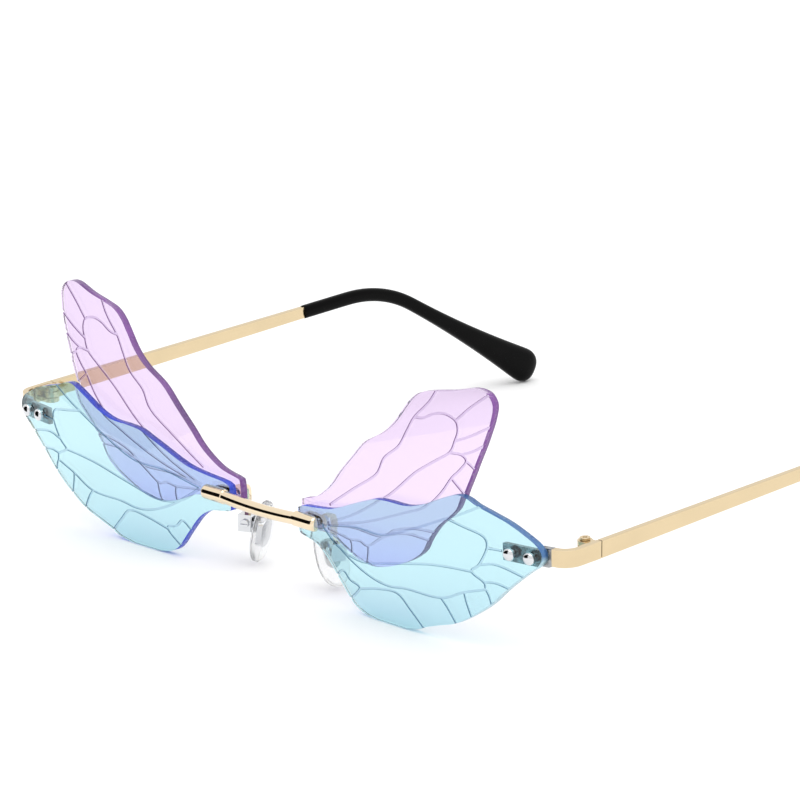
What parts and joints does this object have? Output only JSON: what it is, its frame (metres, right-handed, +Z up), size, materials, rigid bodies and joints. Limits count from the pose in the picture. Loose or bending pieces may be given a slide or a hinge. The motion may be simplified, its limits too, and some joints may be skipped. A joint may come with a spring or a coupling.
{
  "type": "rimless wing-shaped sunglasses",
  "caption": "Rimless sunglasses with blue and pink wing-shaped lenses engraved with veins, a gold bridge bar, clear nose pads and folding gold temples with black tips.",
  "frame": {"origin": "on the surface that the open glasses stand on, midway between the left and right sides and halfway from front to back", "axes": "+X towards the wearer's left, +Y from the lenses back to the wearer's face and ears, +Z up"},
  "size_m": [0.148, 0.1403, 0.0464],
  "materials": {
    "blue_lens": "clear tinted, polished",
    "pink_lens": "clear tinted, polished",
    "polished_gold": "polished",
    "satin_gold": "satin",
    "bright_steel": "bright",
    "clear_pad": "clear, soft",
    "black_tip": "smooth"
  },
  "bodies": {
    "front": {"bridge_bar": "polished_gold", "lower_wing_left": "blue_lens", "lower_wing_right": "blue_lens", "upper_wing_left": "pink_lens", "upper_wing_right": "pink_lens", "bridge_screws_left": "bright_steel", "bridge_screws_right": "bright_steel", "pad_arm_left": "polished_gold", "pad_arm_right": "polished_gold", "pad_box_left": "bright_steel", "pad_box_right": "bright_steel", "pad_screw_left": "bright_steel", "pad_screw_right": "bright_steel", "endpiece_left": "satin_gold", "endpiece_right": "satin_gold", "lens_pins_left": "bright_steel", "lens_pins_right": "bright_steel", "front_hinge_left": "satin_gold", "front_hinge_right": "satin_gold", "hinge_screw_left": "bright_steel", "hinge_screw_right": "bright_steel"},
    "pad_left": {"pad_core_left": "bright_steel", "nose_pad_left": "clear_pad"},
    "side_arm_left": {"temple_hinge_left": "satin_gold", "temple_left": "satin_gold", "temple_tip_left": "black_tip"},
    "pad_right": {"pad_core_right": "bright_steel", "nose_pad_right": "clear_pad"},
    "side_arm_right": {"temple_hinge_right": "satin_gold", "temple_right": "satin_gold", "temple_tip_right": "black_tip"}
  },
  "joints": [
    {"name": "fold_left", "type": "hinge", "parent": "front", "child": "side_arm_left", "pos_m": [0.0711, -0.05742, 0.02003], "axis": [0, -0.0698, 0.9976], "range_deg": [0, 92]},
    {"name": "fold_right", "type": "hinge", "parent": "front", "child": "side_arm_right", "pos_m": [-0.0711, -0.05742, 0.02003], "axis": [0, 0.0698, -0.9976], "range_deg": [0, 86]},
    {"name": "pad_rock_left", "type": "hinge", "parent": "front", "child": "pad_left", "pos_m": [0.0124, -0.06072, 0.0077], "axis": [0.4067, 0.9135, 0], "range_deg": [-6, 6]},
    {"name": "pad_rock_right", "type": "hinge", "parent": "front", "child": "pad_right", "pos_m": [-0.0124, -0.06072, 0.0077], "axis": [0.4067, -0.9135, 0], "range_deg": [-6, 6]}
  ]
}
